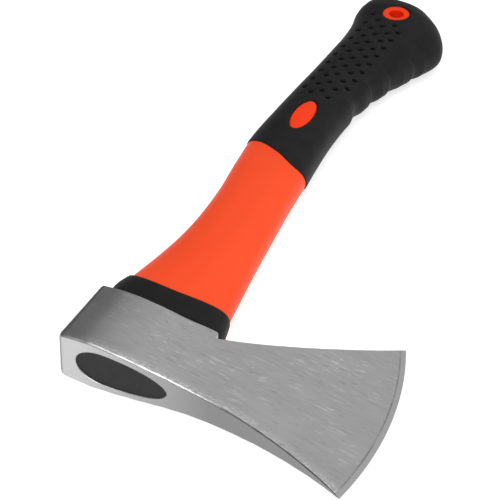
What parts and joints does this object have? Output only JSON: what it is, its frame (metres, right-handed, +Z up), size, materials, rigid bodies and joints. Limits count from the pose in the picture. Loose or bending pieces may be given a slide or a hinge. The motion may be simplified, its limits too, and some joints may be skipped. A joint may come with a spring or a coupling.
{
  "type": "hatchet",
  "caption": "Short one-hand axe with a ground steel head, an orange moulded neck, a black rubber grip with finger notches and a lanyard hole.",
  "frame": {"origin": "under the middle of the whole tool's box, on the surface that it lies on", "axes": "+X towards the cutting edge, +Y from the head to the butt, +Z up through the thickness, tool lying on its side"},
  "size_m": [0.1512, 0.3538, 0.0264],
  "materials": {
    "head_steel": "satin, ground",
    "fibreglass": "pultruded",
    "tenon_nylon": "moulded",
    "resin": "smooth, matt",
    "orange_plastic": "satin, moulded",
    "collar_rubber": "matt, moulded",
    "grip_rubber": "matt, dimpled",
    "orange_insert": "satin, moulded"
  },
  "bodies": {
    "root": {"axe_head": "head_steel", "fibreglass_core": "fibreglass", "eye_tenon": "tenon_nylon", "epoxy_fill": "resin", "handle_body": "orange_plastic", "head_collar": "collar_rubber", "rubber_grip": "grip_rubber", "lanyard_eyelet": "orange_insert", "grip_inlay_upper": "orange_insert", "grip_inlay_lower": "orange_insert"}
  },
  "joints": []
}
